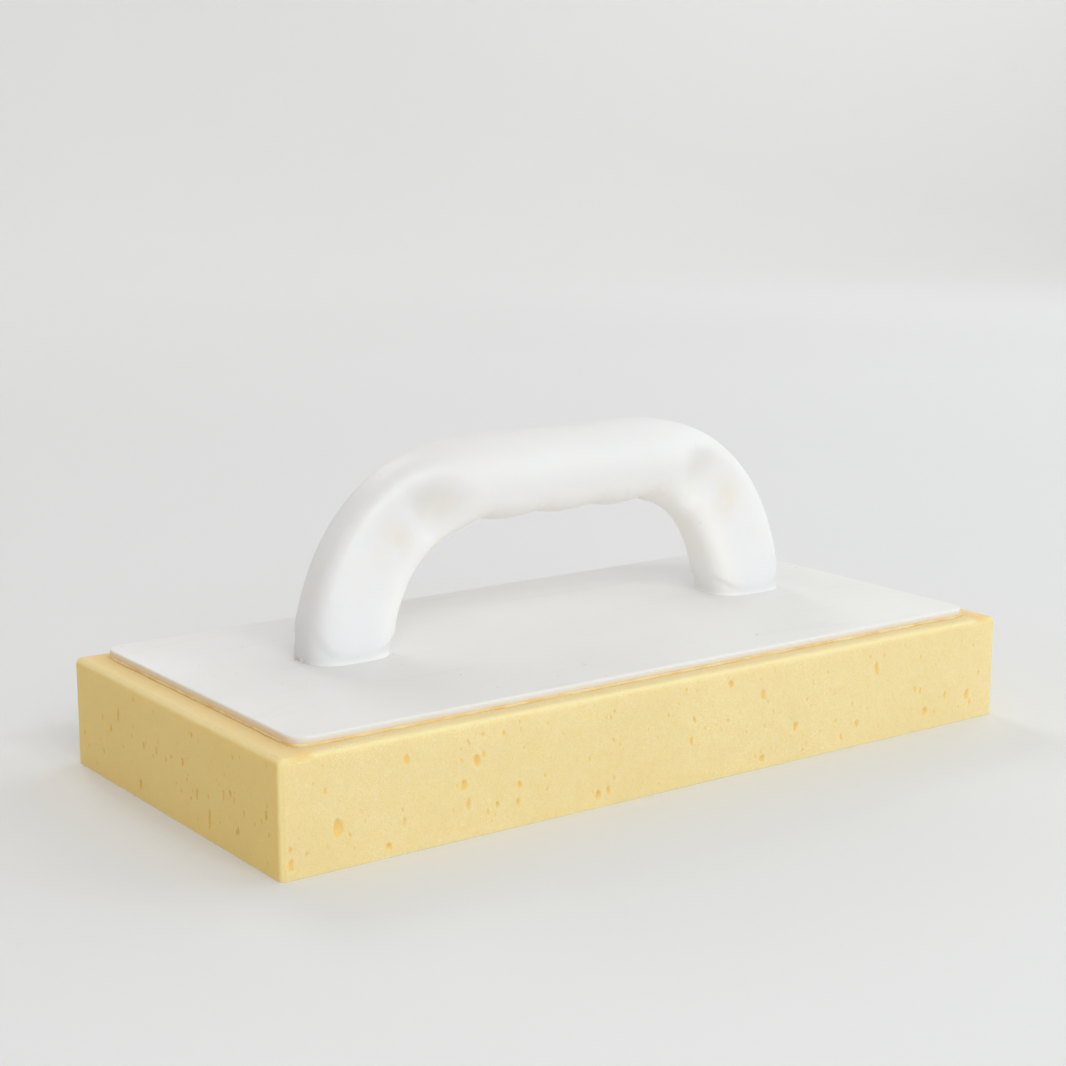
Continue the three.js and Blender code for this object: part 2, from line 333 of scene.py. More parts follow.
def plate_material():
    """Satin white plastic with faint scuffs, tiny specks and a fine moulded grain; its rim grows warmer
    towards its foot, partly glue smear and partly painted shade where it meets the sponge, and the left
    end's rim face carries more painted shade."""
    n = Nodes("plate_plastic")
    broad = n.between(n.noise(14, detail=3), 0.3, 0.7)
    colour = n.mix(broad, PLATE_WHITE, PLATE_PALE)
    speck = n.between(n.noise(520, detail=2), 0.72, 0.78)
    patch = n.between(n.noise(30, detail=2), 0.45, 0.60)
    speck = n.math("MULTIPLY", speck, patch)
    colour = n.mix(n.math("MULTIPLY", speck, 0.45), colour, PLATE_SPECK)
    scuff = n.between(n.noise(70, detail=6, place=n.scaled((0.35, 2.4, 1))), 0.56, 0.72)
    colour = n.mix(n.math("MULTIPLY", scuff, 0.08), colour, PLATE_SCUFF)
    # Glue smear and painted shade: the rim grows warmer towards its foot, beside the sponge
    rim = n.between(n.axis("Z"), RIM_TOP, PLATE_LOW.z, 0.0, 0.55)
    smear = n.between(n.noise(110, detail=4), 0.2, 0.6, 0.6, 1.0)
    colour = n.mix(n.math("MULTIPLY", rim, smear), colour, RIM_GLUE_AND_SHADE)
    # Painted shade on the left end's rim face, below its top
    end = n.between(n.axis("X"), PLATE_LOW.x + 1.2 * MM, PLATE_LOW.x + 0.2 * MM)
    low = n.between(n.axis("Z"), RIM_TOP, RIM_TOP - 0.8 * MM, 0.0, 0.75)
    colour = n.mix(n.math("MULTIPLY", end, low), colour, LEFT_END_SHADE)
    colour = dirt_and_crevice_shade(n, colour)
    n.link(colour, n.shader.inputs["Base Color"])
    n.link(n.between(n.noise(55, detail=5), 0.3, 0.7, 0.40, 0.56), n.shader.inputs["Roughness"])
    normal = n.bump(n.noise(1500, detail=3), 0.08, 0.05 * MM)
    normal = n.bump(n.noise(35, detail=2), 0.10, 0.5 * MM, normal)
    n.link(normal, n.shader.inputs["Normal"])
    n.set(Subsurface_Weight=0.08, Subsurface_Radius=(0.003, 0.003, 0.003), Subsurface_Scale=1.0)
    return n.material


HANDLE_WHITE = (0.745, 0.738, 0.742)
HANDLE_PALE = (0.762, 0.757, 0.765)
# Painted light on the flats of the lower legs
LEG_FLAT_LIGHT = (0.81, 0.805, 0.82)
# Painted yellow glow in the middle of each flat
FLAT_GLOW = (0.76, 0.725, 0.64)
# Painted warm shade in the shoulders' hollows
HOLLOW_SHADE = (0.80, 0.77, 0.72)
# Painted light on the inner side of the loop
INNER_SIDE_LIGHT = (0.90, 0.88, 0.86)
HANDLE_SPECK = (0.45, 0.40, 0.34)
HANDLE_SCATTER = (0.016, 0.013, 0.010)

# Middle of each leg's flat and of each shoulder's hollow: out from the handle's middle, out from its
# centre plane, and up from the plate
FLAT_MIDDLE = (57 * MM, 8.5 * MM, 30 * MM)
HOLLOW_MIDDLE = (44 * MM, 11 * MM, 38 * MM)


def handle_material():
    """Soft-gloss white plastic with painted light on the flats of the lower legs and on the inner side
    of the loop, a little painted yellow glow in the middle of each flat, and painted warm shade in the
    shoulders' hollows."""
    n = Nodes("handle_plastic")
    broad = n.between(n.noise(28, detail=3), 0.3, 0.7)
    colour = n.mix(broad, HANDLE_WHITE, HANDLE_PALE)
    # Painted light: the front and back flats grow lighter down the legs
    leg = n.between(n.axis("Z"), SEAT + 42 * MM, SEAT + 22 * MM, 0.0, 0.7)
    colour = n.mix(n.math("MULTIPLY", leg, n.attribute("face")), colour, LEG_FLAT_LIGHT)
    for side in (-1, 1):
        for face in (-1, 1):
            flat, hollow = (
                (HANDLE_X + side * out, HANDLE_Y + face * across, SEAT + up)
                for out, across, up in (FLAT_MIDDLE, HOLLOW_MIDDLE)
            )
            # Painted yellow glow in the middle of the flat
            glow = n.between(n.distance_to(flat), 10 * MM, 1 * MM, 0.0, 0.65)
            uneven = n.between(n.noise(130, detail=3), 0.3, 0.6)
            colour = n.mix(n.math("MULTIPLY", glow, uneven), colour, FLAT_GLOW)
            # Painted warm shade in the shoulder's hollow
            warm = n.between(n.distance_to(hollow), 10 * MM, 2 * MM, 0.0, 0.5)
            colour = n.mix(warm, colour, HOLLOW_SHADE)
    # Painted light on the inner side of the loop, under the grip and inside the legs
    colour = n.mix(n.math("MULTIPLY", n.attribute("inside"), 0.9), colour, INNER_SIDE_LIGHT)
    speck = n.between(n.noise(620, detail=2), 0.75, 0.80)
    colour = n.mix(n.math("MULTIPLY", speck, 0.3), colour, HANDLE_SPECK)
    colour = dirt_and_crevice_shade(n, colour)
    n.link(colour, n.shader.inputs["Base Color"])
    n.link(n.between(n.noise(80, detail=5), 0.3, 0.7, 0.46, 0.60), n.shader.inputs["Roughness"])
    normal = n.bump(n.noise(240, detail=4), 0.16, 0.14 * MM)
    n.link(normal, n.shader.inputs["Normal"])
    clear_of_base = n.between(n.axis("Z"), SEAT, SEAT + 16 * MM, 0.0, 0.55)
    n.link(clear_of_base, n.shader.inputs["Subsurface Weight"])
    n.set(Subsurface_Radius=HANDLE_SCATTER, Subsurface_Scale=1.0)
    return n.material


GLUE_BROWN = (0.80, 0.53, 0.20)
GLUE_PALE = (0.86, 0.70, 0.38)


def glue_material():
    """Cured contact adhesive, orange-brown and uneven."""
    n = Nodes("cured_adhesive")
    broad = n.between(n.noise(160, detail=4), 0.3, 0.7)
    colour = n.mix(broad, GLUE_BROWN, GLUE_PALE)
    n.link(colour, n.shader.inputs["Base Color"])
    n.link(n.bump(n.noise(600, detail=4), 0.4, 0.2 * MM), n.shader.inputs["Normal"])
    n.set(Roughness=0.5)
    return n.material


STEEL_DARK = (0.52, 0.53, 0.55)
STEEL_LIGHT = (0.70, 0.70, 0.68)


def screw_material():
    """Zinc-plated steel with turning marks."""
    n = Nodes("zinc_plated_steel")
    marks = n.noise(900, detail=3, place=n.scaled((1, 1, 6)))
    n.link(n.mix(marks, STEEL_DARK, STEEL_LIGHT), n.shader.inputs["Base Color"])
    n.link(n.between(marks, 0.3, 0.7, 0.25, 0.45), n.shader.inputs["Roughness"])
    n.set(Metallic=1.0)
    return n.material


PAPER_GREY = (0.762, 0.763, 0.766)
PAPER_PALE = (0.777, 0.778, 0.781)
PAPER_HIGH = (0.93, 0.93, 0.935)


def stage_material():
    """Plain pale studio paper, whiter where it sweeps up."""
    n = Nodes("studio_paper")
    colour = n.mix(n.noise(3, detail=2), PAPER_GREY, PAPER_PALE)
    colour = n.mix(n.between(n.axis("Z"), 0.05, 0.9), colour, PAPER_HIGH)
    n.link(colour, n.shader.inputs["Base Color"])
    n.set(Roughness=0.85, Specular_IOR_Level=0.2)
    return n.material


# ------------------------------------------------------------------ sponge

# Radius of the edges and of the edge round the working face, the mesh's step, and the width of the
# extra row of points that keeps each face flat up to its edges
SPONGE_EDGE = 1.8 * MM
SPONGE_FOOT_EDGE = 0.1 * MM
SPONGE_STEP = 1.25 * MM
EDGE_HOLD = 0.2 * MM

# The cut skin: height of its slow swell and of its fine tooth, and how far in from the block it lies
SWELL = 0.18 * MM
TOOTH = 0.07 * MM
SKIN_INSET = 0.12 * MM

# Pores: how far the scattered ones stay from a face's edges, how far round each pore the mesh is
# cut finer, the half width of the largest scattered one, and the depth that none goes past
PORE_SEED = 11
PORE_MARGIN = 2.5 * MM
PORE_SURROUND = 0.9 * MM
LARGEST_SMALL_PORE = 0.7 * MM
DEEPEST_PORE = 0.6 * MM
PORE_COUNTS = {"front": 110, "back": 110, "left": 60, "right": 55, "under": 170}


class Pore:
    """A pore on one face of the block: centre, half sizes across and along, depth."""

    def __init__(self, face, centre, half_u, half_v, depth, tilt):
        self.face = face
        self.centre = centre
        self.half = (half_u, half_v)
        self.depth = depth
        self.tilt = tilt


# The faces that carry pores: outward axis and sign, then the two axes in the face
FACES = {
    "front": (1, -1, 0, 2),
    "back": (1, 1, 0, 2),
    "left": (0, -1, 1, 2),
    "right": (0, 1, 1, 2),
    "under": (2, -1, 0, 1),
}

# The pores big enough to tell apart, on the front and on the left end:
# share of the face's length from its left, share of its height, half width and half height in mm
LARGE_PORES = {
    "front": [
        (0.065, 0.35, 1.5, 2.6), (0.145, 0.79, 0.9, 1.6), (0.23, 0.66, 1.1, 1.9),
        (0.214, 0.47, 1.0, 1.6), (0.123, 0.10, 0.9, 1.0), (0.012, 0.13, 0.8, 1.8),
        (0.386, 0.12, 0.9, 1.5), (0.283, 0.37, 0.7, 1.2), (0.572, 0.86, 0.9, 1.3),
        (0.62, 0.70, 0.8, 1.7), (0.67, 0.33, 0.9, 1.5), (0.62, 0.10, 1.0, 1.2),
        (0.768, 0.22, 0.9, 1.4), (0.798, 0.72, 0.8, 2.2), (0.881, 0.19, 1.0, 1.6),
        (0.953, 0.27, 0.9, 1.8),
    ],
    "left": [
        (0.763, 0.67, 0.8, 2.2), (0.656, 0.14, 0.9, 1.8), (0.315, 0.20, 0.6, 2.9),
        (0.435, 0.56, 0.7, 1.3), (0.632, 0.52, 0.7, 1.2), (0.806, 0.51, 0.7, 1.2),
        (0.185, 0.23, 0.6, 1.3), (0.216, 0.51, 0.7, 1.1),
    ],
}


def pore_depth(half_width):
    """Wide pores go deeper, up to a limit."""
    return min(0.45 * half_width + 0.1 * MM, DEEPEST_PORE)


def random_pores(draw, face, count):
    """Pores scattered over a face, mostly small, taller than wide on the sides."""
    axis, sign, u, v = FACES[face]
    stretch = 1.0 if face == "under" else 1.9
    pores = []
    for _ in range(count):
        size = min(LARGEST_SMALL_PORE, (0.22 + draw.expovariate(8.0)) * MM)
        centre = (
            draw.uniform(SPONGE_LOW[u] + PORE_MARGIN, SPONGE_HIGH[u] - PORE_MARGIN),
            draw.uniform(SPONGE_LOW[v] + PORE_MARGIN, SPONGE_HIGH[v] - PORE_MARGIN),
        )
        tall = size * draw.uniform(0.9, 1.3) * stretch
        pores.append(Pore(face, centre, size, tall, pore_depth(size), draw.uniform(-0.25, 0.25)))
    return pores


def all_pores():
    """The large pores that are placed one by one, then the scattered ones."""
    draw = random.Random(PORE_SEED)
    pores = []
    for face, rows in LARGE_PORES.items():
        axis, sign, u, v = FACES[face]
        for along, up, half_u, half_v in rows:
            centre = (
                SPONGE_LOW[u] + along * (SPONGE_HIGH[u] - SPONGE_LOW[u]),
                SPONGE_LOW[v] + up * (SPONGE_HIGH[v] - SPONGE_LOW[v]),
            )
            tilt = draw.uniform(-0.2, 0.2)
            pores.append(Pore(face, centre, half_u * MM, half_v * MM, pore_depth(half_u * MM), tilt))
    for face, count in PORE_COUNTS.items():
        pores += random_pores(draw, face, count)
    return pores


def edge_radii():
    """Edge radius towards the low and the high end of each axis, tighter at the working face."""
    low = np.array([SPONGE_EDGE, SPONGE_EDGE, SPONGE_FOOT_EDGE])
    high = np.full(3, SPONGE_EDGE)
    return low, high


def lattice_axis(low, high, low_edge, high_edge):
    """Evenly spaced values with extra ones inside the rounded edges."""
    shares = (0, 0.2, 0.45, 0.7, 1)
    start, end = low + low_edge + EDGE_HOLD, high - high_edge - EDGE_HOLD
    count = max(2, round((end - start) / SPONGE_STEP))
    low_side = [low + low_edge * share for share in shares]
    high_side = [high - high_edge * share for share in reversed(shares)]
    return low_side + list(np.linspace(start, end, count + 1)) + high_side


def lattice_block():
    """The closed skin of a box lattice as points and quads."""
    axes = [lattice_axis(*ends) for ends in zip(SPONGE_LOW, SPONGE_HIGH, *edge_radii())]
    ends = [len(a) - 1 for a in axes]
    index = {}
    points = []
    faces = []

    def at(key):
        if key not in index:
            index[key] = len(points)
            points.append([axes[i][key[i]] for i in range(3)])
        return index[key]

    for axis in range(3):
        u, v = (axis + 1) % 3, (axis + 2) % 3
        for side in (0, ends[axis]):
            for i in range(ends[u]):
                for j in range(ends[v]):
                    quad = []
                    for di, dj in ((0, 0), (1, 0), (1, 1), (0, 1)):
                        key = [0, 0, 0]
                        key[axis], key[u], key[v] = side, i + di, j + dj
                        quad.append(at(tuple(key)))
                    faces.append(quad if side else quad[::-1])
    return np.array(points), faces


def refine_near(mesh, pores):
    """Cuts the quads around each pore finer, so that the pore keeps its shape."""
    work = bmesh.new()
    work.from_mesh(mesh)
    work.faces.ensure_lookup_table()
    centres = np.array([f.calc_center_median() for f in work.faces])
    normals = np.array([f.normal for f in work.faces])
    chosen = np.zeros(len(centres), bool)
    for pore in pores:
        axis, sign, u, v = FACES[pore.face]
        near = np.abs(centres[:, u] - pore.centre[0]) < pore.half[0] + PORE_SURROUND
        near &= np.abs(centres[:, v] - pore.centre[1]) < pore.half[1] + PORE_SURROUND
        near &= normals[:, axis] * sign > 0.95
        chosen |= near
    edges = {e for i in np.flatnonzero(chosen) for e in work.faces[i].edges}
    bmesh.ops.subdivide_edges(work, edges=list(edges), cuts=3, use_grid_fill=True)
    bmesh.ops.triangulate(work, faces=[f for f in work.faces if len(f.verts) > 4])
    work.to_mesh(mesh)
    work.free()


def round_edges(points):
    """Draws the square edges and corners in to a round; returns the points and their outward way."""
    low_edge, high_edge = edge_radii()
    inner = np.clip(points, np.array(SPONGE_LOW) + low_edge, np.array(SPONGE_HIGH) - high_edge)
    offset = points - inner
    radius = np.where(offset < 0, low_edge, high_edge)
    way = offset / radius
    way /= np.maximum(np.linalg.norm(way, axis=1, keepdims=True), 1e-9)
    return inner + way * radius, way


def press_pores(points, pores):
    """Pushes each pore into its face and returns how deep every point lies in a pore."""
    depth_share = np.zeros(len(points))
    moved = points.copy()
    for pore in pores:
        axis, sign, u, v = FACES[pore.face]
        face_level = SPONGE_HIGH[axis] if sign > 0 else SPONGE_LOW[axis]
        reach = 1.4 * max(pore.half)
        near = np.abs(points[:, axis] - face_level) < 0.05 * MM
        near &= np.abs(points[:, u] - pore.centre[0]) < reach
        near &= np.abs(points[:, v] - pore.centre[1]) < reach
        where = np.flatnonzero(near)
        du = points[where, u] - pore.centre[0]
        dv = points[where, v] - pore.centre[1]
        cos, sin = math.cos(pore.tilt), math.sin(pore.tilt)
        across = (du * cos + dv * sin) / pore.half[0]
        along = (dv * cos - du * sin) / pore.half[1]
        wobble = 1 + 0.07 * np.sin(3 * np.arctan2(along, across) + 60 * pore.tilt)
        radius = np.hypot(across, along) * wobble
        inside = np.clip(1 - radius ** 2.6, 0, 1)
        moved[where, axis] -= sign * pore.depth * inside
        depth_share[where] = np.maximum(depth_share[where], smoothstep(inside * 1.6))
    return moved, depth_share


def unevenness(points):
    """A cut foam face is never quite flat: a small swell and a fine tooth."""
    rise = np.empty(len(points))
    for i, p in enumerate(points):
        slow = noise.noise(Vector(p) * 32)
        fine = noise.noise(Vector(p) * 520)
        rise[i] = SWELL * slow + TOOTH * fine
    return rise


def build_sponge(material):
    """A finely cut block with rounded edges, pores and an uneven skin."""
    pores = all_pores()
    points, faces = lattice_block()
    mesh = mesh_from("sponge_block", points, faces)
    refine_near(mesh, pores)
    points = np.empty(len(mesh.vertices) * 3)
    mesh.vertices.foreach_get("co", points)
    flat = points.reshape(-1, 3)
    rounded, outward = round_edges(flat)
    moved, depth_share = press_pores(rounded, pores)
    free = 1 - smoothstep((np.abs(outward[:, 2]) - 0.5) / 0.4)
    moved += outward * ((unevenness(flat) - SKIN_INSET) * free)[:, None]
    mesh.vertices.foreach_set("co", moved.ravel())
    point_values(mesh, "pore", depth_share)
    # How far each point faces along the block, for the painted shade on the ends
    point_values(mesh, "end_shade", np.abs(outward[:, 0]))
    # Where the edges are rounded, for their painted highlight
    point_values(mesh, "edge", smoothstep((0.98 - np.abs(outward).max(axis=1)) / 0.2))
    mesh.update()
    sponge = new_object("sponge_block", mesh, material)
    ride_and_replace(sponge, "sponge", "sponge_pad")
    return sponge


# ------------------------------------------------------------------ base plate

# Radius of the rim's upper and lower edge, and how finely the plate is drawn
RIM_ROUND = 0.55 * MM
RIM_FOOT_ROUND = 0.3 * MM
CORNER_STEPS = 10
PLATE_SIDE_STEPS = 24
PLATE_CROWN_RINGS = 39


def rounded_outline(half_x, half_y, radius, count):
    """Points round a rounded rectangle, with count steps along each side."""
    centres = [(half_x - radius, half_y - radius), (radius - half_x, half_y - radius),
               (radius - half_x, radius - half_y), (half_x - radius, radius - half_y)]
    outline = []
    for quarter, (cx, cy) in enumerate(centres):
        for step in range(CORNER_STEPS + 1):
            angle = math.pi / 2 * (quarter + step / CORNER_STEPS)
            outline.append((cx + radius * math.cos(angle), cy + radius * math.sin(angle)))
        nx, ny = centres[(quarter + 1) % 4]
        angle = math.pi / 2 * (quarter + 1)
        x, y = outline[-1]
        way_x = nx + radius * math.cos(angle) - x
        way_y = ny + radius * math.sin(angle) - y
        for step in range(1, count):
            share = step / count
            outline.append((x + way_x * share, y + way_y * share))
    return np.array(outline)


def crown_height(x, y):
    """Height of the plate's crown above its rim, from the plate's centre."""
    def rise(distance, slope):
        t = np.clip(distance / slope, 0, 1)
        return t * (2 - t)
    ends = rise(PLATE_HALF.x - np.abs(x), END_SLOPE)
    sides = rise(PLATE_HALF.y - np.abs(y), SIDE_SLOPE)
    return (PLATE_HIGH.z - RIM_TOP) * ends * sides


def plate_ring(inset, height, follow_crown):
    """One ring of the plate's skin, drawn in from the outline by inset."""
    radius = max(PLATE_CORNER - inset, RIM_FOOT_ROUND)
    ring = rounded_outline(PLATE_HALF.x - inset, PLATE_HALF.y - inset, radius, PLATE_SIDE_STEPS)
    z = np.full(len(ring), height)
    if follow_crown:
        z += crown_height(ring[:, 0], ring[:, 1])
    return np.column_stack([ring + np.array(PLATE_CENTRE[:2]), z])


def build_plate(material):
    """Rings up the rim and in over the crown, joined into one skin."""
    rings = []
    for angle in np.linspace(0, math.pi / 2, 5):
        inset = RIM_FOOT_ROUND * (1 - math.sin(angle))
        height = PLATE_LOW.z + RIM_FOOT_ROUND * (1 - math.cos(angle))
        rings.append(plate_ring(inset, height, False))
    for angle in np.linspace(0, math.pi / 2, 7):
        inset = RIM_ROUND * (1 - math.cos(angle))
        height = RIM_TOP - RIM_ROUND * (1 - math.sin(angle))
        rings.append(plate_ring(inset, height, False))
    for inset in np.linspace(RIM_ROUND, SIDE_SLOPE, PLATE_CROWN_RINGS + 1)[1:]:
        rings.append(plate_ring(inset, RIM_TOP, True))
    faces = closed_skin(len(rings), len(rings[0]))
    plate = new_object("plate_moulding", mesh_from("plate_moulding", np.vstack(rings), faces), material)
    ride_and_replace(plate, "plate_plastic", "base_plate")
    return plate


# ------------------------------------------------------------------ adhesive

GLUE_SIDE_STEPS = 90
GLUE_EDGE_STEPS = 6
GLUE_SWELL = 0.15 * MM


def glue_squeeze(x, y):
    """How far the glue comes out past the plate's edge at a place on its outline."""
    wave = noise.noise(Vector((x, y, 0)) * 90)
    drip = noise.noise(Vector((x, y, 3)) * 400)
    return (0.30 + 0.45 * wave + 0.2 * drip) * MM


def build_glue(material):
    """A thin sheet whose edge squeezes out unevenly from under the plate."""
    half = (GLUE_HIGH - GLUE_LOW) / 2
    middle = (GLUE_LOW + GLUE_HIGH) / 2
    outline = rounded_outline(half.x, half.y, PLATE_CORNER, GLUE_SIDE_STEPS)
    rings = []
    for angle in np.linspace(-math.pi / 2, math.pi / 2, GLUE_EDGE_STEPS + 1):
        z = middle.z + (half.z + GLUE_SWELL) * math.sin(angle)
        ring = []
        for x, y in outline:
            out = glue_squeeze(x, y) * (0.4 + 0.6 * math.cos(angle))
            out_x = math.copysign(out, x) if abs(x) > half.x - PLATE_CORNER else 0.0
            out_y = math.copysign(out, y) if abs(y) > half.y - PLATE_CORNER else 0.0
            ring.append((middle.x + x + out_x, middle.y + y + out_y, z))
        rings.append(ring)
    points = [point for ring in rings for point in ring]
    faces = closed_skin(len(rings), len(outline))
    glue = new_object("glue_sheet", mesh_from("glue_sheet", points, faces), material)
    ride_and_replace(glue, "adhesive", "adhesive_layer")
    return glue


# ------------------------------------------------------------------ handle

# Centreline: the straight grip, then one curve down to the foot, drawn by its guide lengths
GRIP_REACH = 12 * MM
GRIP_Z = HANDLE_HIGH.z - GRIP_REACH
GRIP_HALF = 25 * MM
ELBOW_GUIDE = 15 * MM
LEG_GUIDE = 37.5 * MM
LEG_LEAN = 4.4 * MM
LEVEL_LENGTH = 14 * MM

# Foot: the bevel under each flat, higher towards the flat's sides, the leg's narrowing, the little
# fillet on the plate, and how far the foot's end lies inside the plate
FOOT_EDGE_HEIGHT = 3.2 * MM
FOOT_CORNER_RISE = 6 * MM
FOOT_BEVEL = 3.0 * MM
FOOT_TUCK = 0.4 * MM
FOOT_CORNER_TUCK = 1.1 * MM
FOOT_SIDE_ROUND = 8.5 * MM
FOOT_SIDE_TUCK = 0.7 * MM
FOOT_FILLET = 0.9 * MM
FOOT_FLARE = 0.35 * MM
FOOT_SINK = 0.15 * MM

# Finger lobes under the grip, and the share of each face's width that its dish takes
LOBE_COUNT = 3
LOBE_PITCH = 18.8 * MM
LOBE_DEPTH = 1.5 * MM
LOBE_RUN_OUT = 8 * MM
DISH_SHARE = 0.85

# How finely the handle is drawn
GRIP_POINTS = 79
BEND_POINTS = 600
ARM_RINGS = 159
FOOT_RINGS = 26
RING_POINTS = 144

# Section sizes in mm at distances along the centreline from the grip's middle:
# reach in the handle's plane, depth across it, superellipse power, dish of each flat face
STATIONS = [
    (0, 12.0, 14.0, 2.1, 0.0),
    (33, 12.0, 14.2, 2.1, 0.0),
    (52, 12.4, 8.8, 3.2, 0.9),
    (74, 12.7, 8.8, 3.4, 0.8),
    (96, 12.8, 10.4, 3.0, 0.1),
]

# Soft hollows (-) and swells (+) on the front and back: distance along the centreline, place across it
# from inner (-) to outer (+), both in mm, their spreads, and the height
FACE_FORMS = [
    (46.5, 0.5, 6.0, 6.0, -1.6),
    (54.0, -1.0, 3.2, 7.0, 0.5),
    (56.5, -7.0, 5.0, 4.6, 0.8),
    (49.0, 9.0, 9.0, 3.0, 0.5),
]


def half_centreline():
    """Dense points down one half of the handle, from the grip's middle to the foot."""
    t = np.linspace(0, 1, BEND_POINTS)[:, None]
    a = np.array([GRIP_HALF, GRIP_Z])
    b = np.array([GRIP_HALF + ELBOW_GUIDE, GRIP_Z])
    c = np.array([FOOT_X - LEG_LEAN, SEAT + LEG_GUIDE])
    d = np.array([FOOT_X, SEAT])
    bend = (1 - t) ** 3 * a + 3 * (1 - t) ** 2 * t * b + 3 * (1 - t) * t * t * c + t ** 3 * d
    grip_x = np.linspace(0, GRIP_HALF, GRIP_POINTS + 1)[:-1]
    grip = np.column_stack([grip_x, np.full(GRIP_POINTS, GRIP_Z)])
    return np.vstack([grip, bend])


def section_values(distance):
    """Section sizes at a distance, blended smoothly between the stations."""
    stations = np.array(STATIONS)
    passed = int(np.searchsorted(stations[:, 0], distance / MM, side="right"))
    row = min(max(passed - 1, 0), len(stations) - 2)
    low, high = stations[row], stations[row + 1]
    t = smoothstep((distance / MM - low[0]) / (high[0] - low[0]))
    return low[1:] + (high[1:] - low[1:]) * t


def lobe_valley(x):
    """Depth of the valleys between the finger lobes."""
    half = LOBE_COUNT * LOBE_PITCH / 2
    if abs(x) < half:
        wave = abs(math.cos(math.pi * x / LOBE_PITCH))
    else:
        wave = float(smoothstep((abs(x) - half) / LOBE_RUN_OUT))
    return LOBE_DEPTH * (1 - wave)


def handle_ring(centre, normal, distance, side, around):
    """One ring of the handle's skin, on its left side (-1) or its right side (1)."""
    reach, depth, power, dish = section_values(distance)
    height = max(centre[1] - SEAT, 0.0)
    side_tuck = FOOT_SIDE_TUCK / MM * max(1 - height / FOOT_SIDE_ROUND, 0) ** 2
    flare = FOOT_FLARE / MM * max(1 - height / FOOT_FILLET, 0) ** 2
    cos, sin = np.cos(around), np.sin(around)
    outward = np.sign(cos) * np.abs(cos) ** (2 / power)
    across = np.sign(sin) * np.abs(sin) ** (2 / power)
    edge_height = FOOT_EDGE_HEIGHT + FOOT_CORNER_RISE * np.abs(outward) ** 3.5
    full_tuck = (FOOT_TUCK + FOOT_CORNER_TUCK * np.abs(outward) ** 3) / MM
    face_tuck = full_tuck * smoothstep((edge_height - height) / FOOT_BEVEL)
    hollow = dish * np.clip(1 - (outward / DISH_SHARE) ** 2, 0, 1) * np.abs(across)
    under = np.clip(-cos, 0, 1) ** 2
    r = (reach - side_tuck + flare) * MM * outward + lobe_valley(centre[0]) * under
    form = sum(
        rise * np.exp(-(((distance / MM - s) / long) ** 2) - ((reach * outward - place) / wide) ** 2)
        for s, place, long, wide, rise in FACE_FORMS
    )
    y = ((depth - face_tuck + flare) * across + np.sign(across) * (form * np.abs(across) - hollow)) * MM
    x = centre[0] + normal[0] * r
    z = centre[1] + normal[1] * r
    return np.column_stack([HANDLE_X + side * x, HANDLE_Y + y, z])


def ring_places():
    """Centre, outward way and distance of each ring from the grip's middle to one foot; the last
    rings lie level with the plate."""
    line = half_centreline()
    steps = np.linalg.norm(np.diff(line, axis=0), axis=1)
    along = np.concatenate([[0], np.cumsum(steps)])
    total = along[-1]
    arm = np.linspace(0, total - FOOT_SIDE_ROUND, ARM_RINGS + 1)[:-1]
    foot = np.linspace(total - FOOT_SIDE_ROUND, total + FOOT_SINK, FOOT_RINGS)
    tangents = np.gradient(line, axis=0)
    tangents /= np.linalg.norm(tangents, axis=1, keepdims=True)
    places = []
    for s in np.concatenate([arm, foot]):
        centre = np.array([np.interp(s, along, line[:, i]) for i in range(2)])
        tangent = np.array([np.interp(s, along, tangents[:, i]) for i in range(2)])
        level = float(smoothstep(1 - (total - s) / LEVEL_LENGTH))
        tangent = tangent * (1 - level) + np.array([0, -1]) * level
        tangent /= np.linalg.norm(tangent)
        centre[1] -= max(s - total, 0.0)
        places.append((centre, np.array([-tangent[1], tangent[0]]), s))
    return places


def build_handle(material):
    """The right half's rings, mirrored for the left half, joined into one skin."""
    half = ring_places()
    around = np.linspace(0, 2 * math.pi, RING_POINTS, endpoint=False)
    rings = [handle_ring(*place, -1, around) for place in reversed(half)]
    rings += [handle_ring(*place, 1, around) for place in half[1:]]
    mesh = mesh_from("handle_moulding", np.vstack(rings), closed_skin(len(rings), RING_POINTS))
    # Inner side of the loop and the front and back faces, which carry painted light
    inside = smoothstep(np.clip(-np.cos(around), 0, 1) * 1.3)
    face = np.abs(np.sin(around)) ** 2
    point_values(mesh, "inside", np.tile(inside, len(rings)))
    point_values(mesh, "face", np.tile(face, len(rings)))
    handle = new_object("handle_moulding", mesh, material)
    ride_and_replace(handle, "handle_plastic", "handle")
    return handle


# ------------------------------------------------------------------ stage, light, camera

# Camera: place, turn, look down and roll, and lens length in mm on a 36 mm wide sensor
CAMERA_PLACE = Vector((-342.2, -467.7, 176.7)) * MM
CAMERA_AZIMUTH = math.radians(-35.66)
CAMERA_ELEVATION = math.radians(11.41)
CAMERA_ROLL = math.radians(-0.05)
CAMERA_LENS = 71.05
SENSOR_WIDTH = 36

# Stage: radius of its flat floor, radius of the sweep, height of the wall, and how deep the soft
# working face sinks into the paper
FLOOR_RADIUS = 1.7
SWEEP_RADIUS = 0.9
WALL_HEIGHT = 1.7
STAGE_POINTS = 96
SWEEP_POINTS = 17
FOAM_SINK = 0.15 * MM


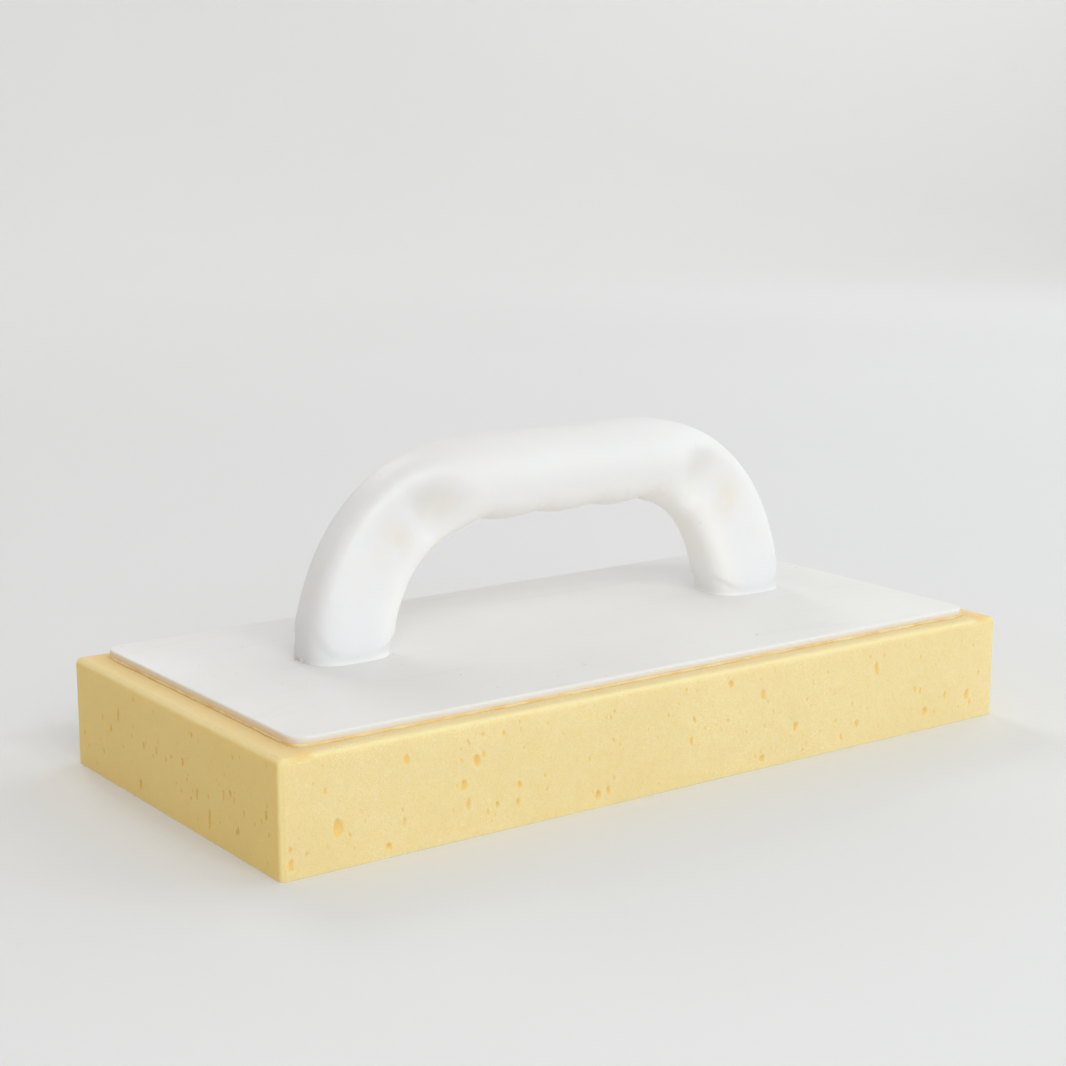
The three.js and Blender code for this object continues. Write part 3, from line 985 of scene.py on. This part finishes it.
def build_camera():
    camera = bpy.data.objects.new("camera", bpy.data.cameras.new("camera"))
    camera.data.lens = CAMERA_LENS
    camera.data.sensor_width = SENSOR_WIDTH
    camera.data.clip_start = 0.01
    camera.location = CAMERA_PLACE
    camera.rotation_mode = "XYZ"
    camera.rotation_euler = (math.pi / 2 - CAMERA_ELEVATION, -CAMERA_ROLL, CAMERA_AZIMUTH)
    bpy.context.scene.collection.objects.link(camera)
    bpy.context.scene.camera = camera
    return camera


def build_stage(material):
    """A round floor that sweeps up into a low wall on every side."""
    profile = [(FLOOR_RADIUS / 2, 0.0)]
    for rise in np.linspace(0, math.pi / 2, SWEEP_POINTS):
        radius = FLOOR_RADIUS + SWEEP_RADIUS * math.sin(rise)
        profile.append((radius, SWEEP_RADIUS * (1 - math.cos(rise))))
    profile.append((FLOOR_RADIUS + SWEEP_RADIUS, WALL_HEIGHT))
    angles = np.linspace(0, 2 * math.pi, STAGE_POINTS, endpoint=False)
    points = [(0.0, 0.0, 0.0)]
    for radius, height in profile:
        points += [(radius * math.cos(a), radius * math.sin(a), height) for a in angles]
    faces = [(0, 1 + i, 1 + (i + 1) % STAGE_POINTS) for i in range(STAGE_POINTS)]
    faces += ring_faces(len(profile), STAGE_POINTS, first=1)
    floor = new_object("studio_floor", mesh_from("studio_floor", points, faces), material)
    floor.location.z = SPONGE_LOW.z + FOAM_SINK
    return floor


WORLD_STRENGTH = 0.5
WORLD_COLOUR = (1.0, 0.958, 0.932)
FLOAT_MIDDLE = (0, 0, 0.05)
BACKDROP_RIGHT = (1.75, 1.55, 0.35)

# Soft boxes: name, place, what it looks at, diameter, beam angle in degrees, power in watts, colour
SOFT_BOXES = [
    ("key", (0.15, -1.4, 1.15), FLOAT_MIDDLE, 0.3, 180, 3.0, (0.9, 1.0, 1.0)),
    ("right", (1.1, -0.6, 0.45), FLOAT_MIDDLE, 1.0, 180, 3.1, (0.87, 1.0, 1.0)),
    ("front", (-0.5, -1.4, 1.0), FLOAT_MIDDLE, 1.2, 180, 11.9, (0.97, 1.0, 1.0)),
    ("right_behind", (1.3, 0.4, 0.9), FLOAT_MIDDLE, 1.2, 180, 3.8, (0.95, 1.0, 1.0)),
    ("far_behind", (0.3, 2.0, 1.5), FLOAT_MIDDLE, 1.0, 180, 10.3, (0.98, 1.0, 1.0)),
    ("backdrop", (1.0, 0.9, 1.3), BACKDROP_RIGHT, 0.6, 110, 1.7, (0.98, 1.0, 1.0)),
]


def soft_box(name, place, target, size, beam, power, colour):
    light = bpy.data.lights.new(name, "AREA")
    light.shape = "DISK"
    light.size = size
    light.spread = math.radians(beam)
    light.energy = power
    light.color = colour
    lamp = bpy.data.objects.new(name, light)
    lamp.location = place
    lamp.rotation_euler = (Vector(target) - Vector(place)).to_track_quat("-Z", "Y").to_euler()
    lamp.visible_camera = False
    bpy.context.scene.collection.objects.link(lamp)
    return lamp


def build_light():
    """A dim even world and the soft boxes."""
    world = bpy.data.worlds.new("soft_studio")
    world.use_nodes = True
    background = world.node_tree.nodes["Background"]
    background.inputs["Color"].default_value = (*WORLD_COLOUR, 1.0)
    background.inputs["Strength"].default_value = WORLD_STRENGTH
    bpy.context.scene.world = world
    for box in SOFT_BOXES:
        soft_box(*box)
    bpy.context.scene.view_settings.view_transform = "Standard"


# ------------------------------------------------------------------ build

build_camera()
build_sponge(foam_material())
build_glue(glue_material())
build_plate(plate_material())
build_handle(handle_material())
steel = screw_material()
for side in ("left", "right"):
    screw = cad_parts[side + "_handle_screw"]
    screw.data.materials.clear()
    screw.data.materials.append(steel)
build_stage(stage_material())
build_light()
